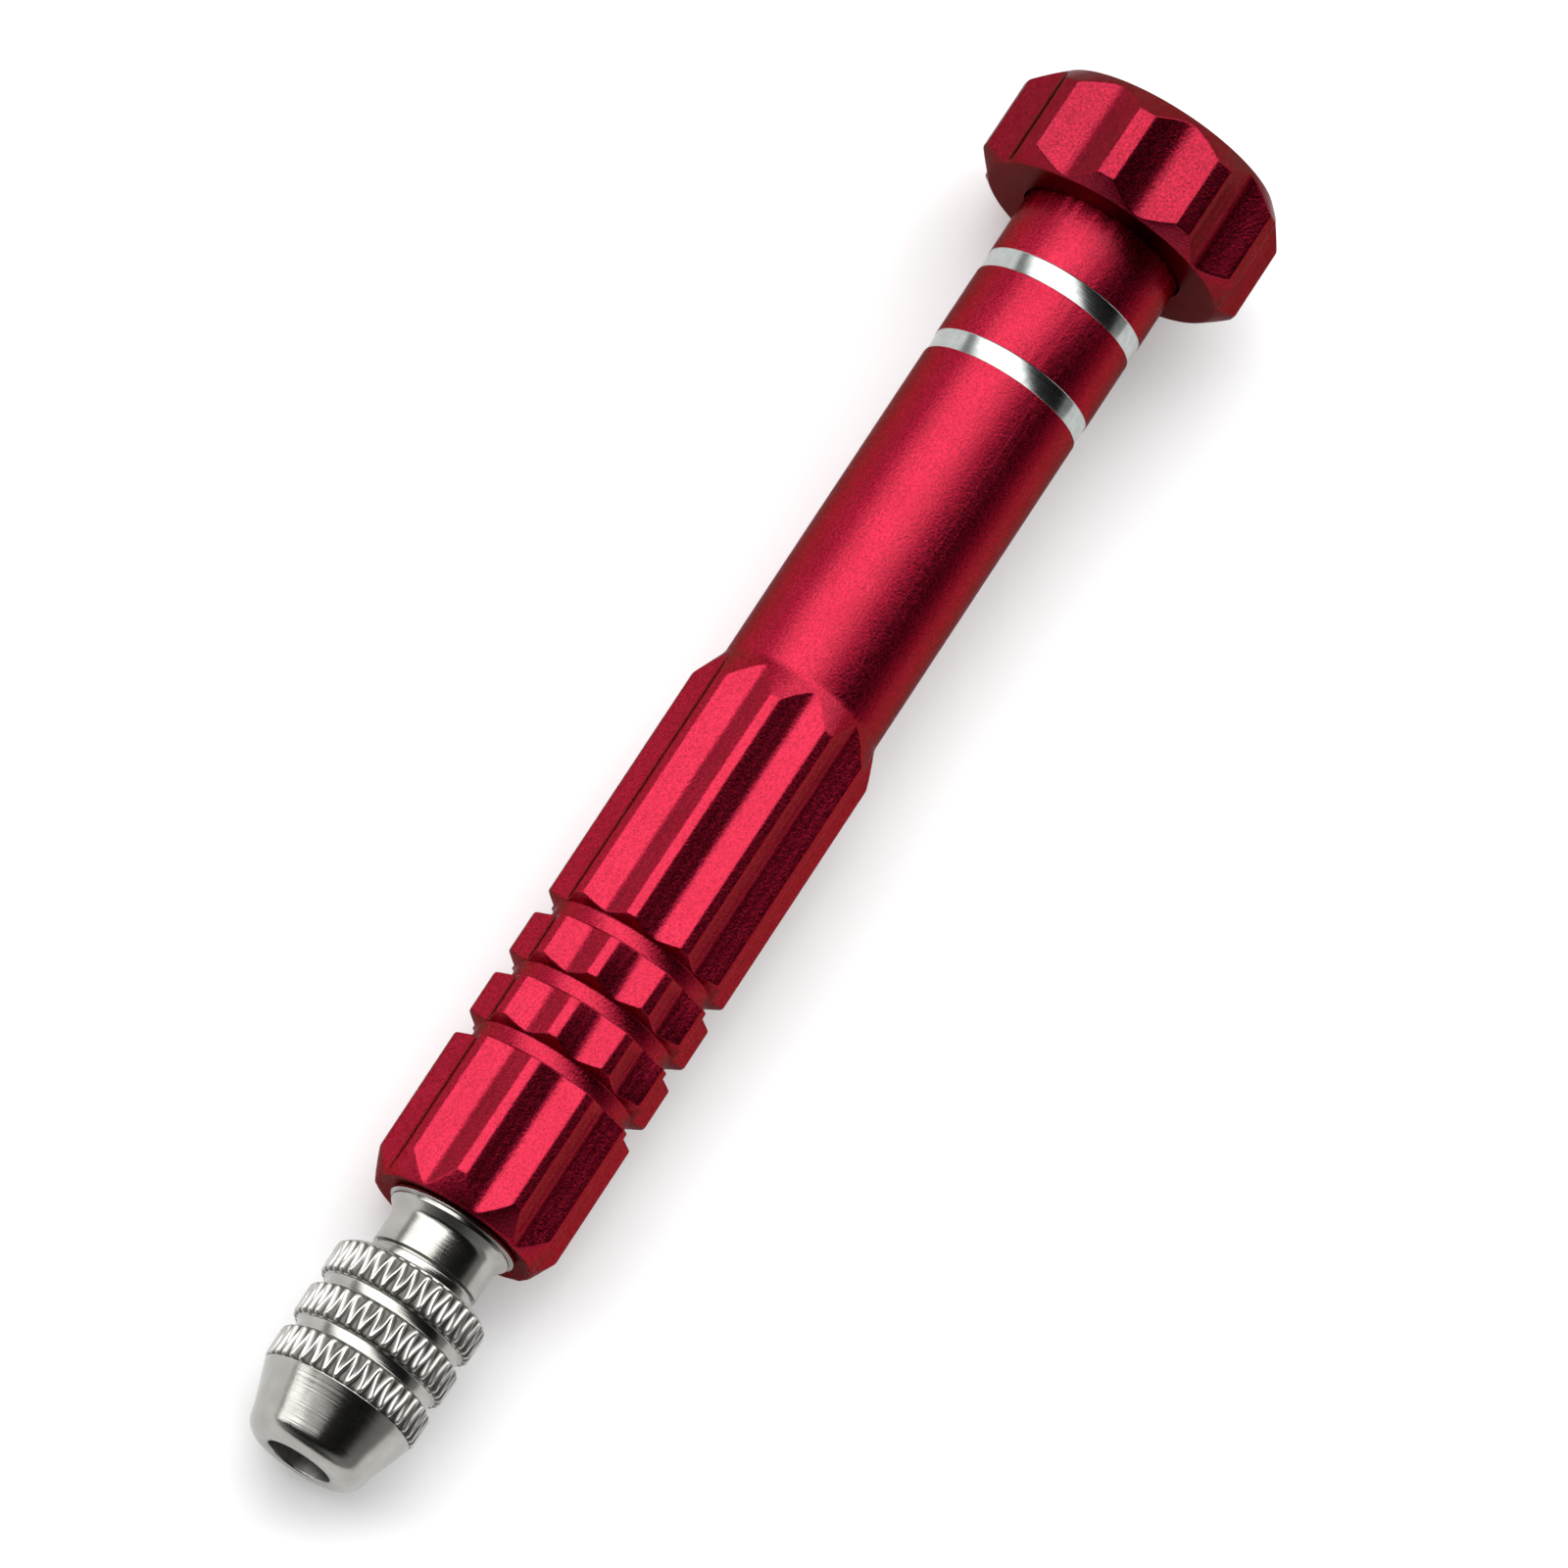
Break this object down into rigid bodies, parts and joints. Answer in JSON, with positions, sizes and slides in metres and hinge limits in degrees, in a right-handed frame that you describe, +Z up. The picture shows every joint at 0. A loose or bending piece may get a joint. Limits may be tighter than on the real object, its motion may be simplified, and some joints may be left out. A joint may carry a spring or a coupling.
{
  "type": "pin vise drill",
  "caption": "Slim hand-turned pin vise with a knurled collet chuck, a fluted metal handle, and a pull-out swivel knob that closes a store of small bits.",
  "frame": {"origin": "middle of the underside of the tool's box, on the surface it lies on", "axes": "+X along the tool towards the nose, +Z up; the tool's own axis dips 2.22 degrees towards the nose, because the knob is thicker than the grip"},
  "size_m": [0.0934, 0.0176, 0.0171],
  "materials": {
    "anodised_handle": "satin red anodised, with two bright bare bands",
    "anodised_knob": "satin red anodised",
    "nylon": "milky white moulded nylon",
    "seal_rubber": "black rubber",
    "screw_steel": "plain turned steel",
    "chuck_steel": "satin nickel plate over turned and knurled steel",
    "collet_steel": "dark hardened steel",
    "bit_steel": "dark brown heat-treated tool steel"
  },
  "bodies": {
    "handle": {"handle_body": "anodised_handle", "chuck_body": "chuck_steel"},
    "collet_sleeve": {"collet": "collet_steel"},
    "nut": {"chuck_nut": "chuck_steel"},
    "plug": {"cap_plug": "nylon", "cap_o_ring": "seal_rubber"},
    "knob": {"cap_knob": "anodised_knob", "swivel_screw": "screw_steel", "swivel_washer": "screw_steel"},
    "slotted_bit": {"bit_slotted": "bit_steel"},
    "hex_bit": {"bit_hex": "bit_steel"},
    "star_bit": {"bit_star": "bit_steel"},
    "cross_bit": {"bit_cross": "bit_steel"},
    "triangle_bit": {"bit_triangle": "bit_steel"}
  },
  "joints": [
    {"name": "collet_slide", "type": "slide", "parent": "handle", "child": "collet_sleeve", "axis": [0.9992, 0, -0.0388], "range_m": [0, 0.003]},
    {"name": "nut_turn", "type": "hinge", "parent": "collet_sleeve", "child": "nut", "pos_m": [0.04656, 0, 0.00509], "axis": [0.9992, 0, -0.0388], "range_deg": [0, 1440]},
    {"name": "cap_pull", "type": "slide", "parent": "handle", "child": "plug", "axis": [-0.9992, 0, 0.0388], "range_m": [0, 0.045]},
    {"name": "cap_spin", "type": "hinge", "parent": "plug", "child": "knob", "pos_m": [-0.04637, 0, 0.0087], "axis": [-0.9992, 0, 0.0388], "continuous": true},
    {"name": "slotted_bit_slide", "type": "slide", "parent": "handle", "child": "slotted_bit", "axis": [-0.9992, 0, 0.0388], "range_m": [0, 0.025]},
    {"name": "hex_bit_slide", "type": "slide", "parent": "handle", "child": "hex_bit", "axis": [-0.9992, 0, 0.0388], "range_m": [0, 0.025]},
    {"name": "star_bit_slide", "type": "slide", "parent": "handle", "child": "star_bit", "axis": [-0.9992, 0, 0.0388], "range_m": [0, 0.025]},
    {"name": "cross_bit_slide", "type": "slide", "parent": "handle", "child": "cross_bit", "axis": [-0.9992, 0, 0.0388], "range_m": [0, 0.025]},
    {"name": "triangle_bit_slide", "type": "slide", "parent": "handle", "child": "triangle_bit", "axis": [-0.9992, 0, 0.0388], "range_m": [0, 0.025]}
  ],
  "couplings": [
    {"joint": "nut_turn", "follows": "collet_slide", "rad_per_m": 8377.6},
    {"joint": "slotted_bit_slide", "follows": "cap_pull", "ratio": 0.46},
    {"joint": "hex_bit_slide", "follows": "cap_pull", "ratio": 0.52},
    {"joint": "star_bit_slide", "follows": "cap_pull", "ratio": 0.55},
    {"joint": "cross_bit_slide", "follows": "cap_pull", "ratio": 0.5},
    {"joint": "triangle_bit_slide", "follows": "cap_pull", "ratio": 0.43}
  ]
}
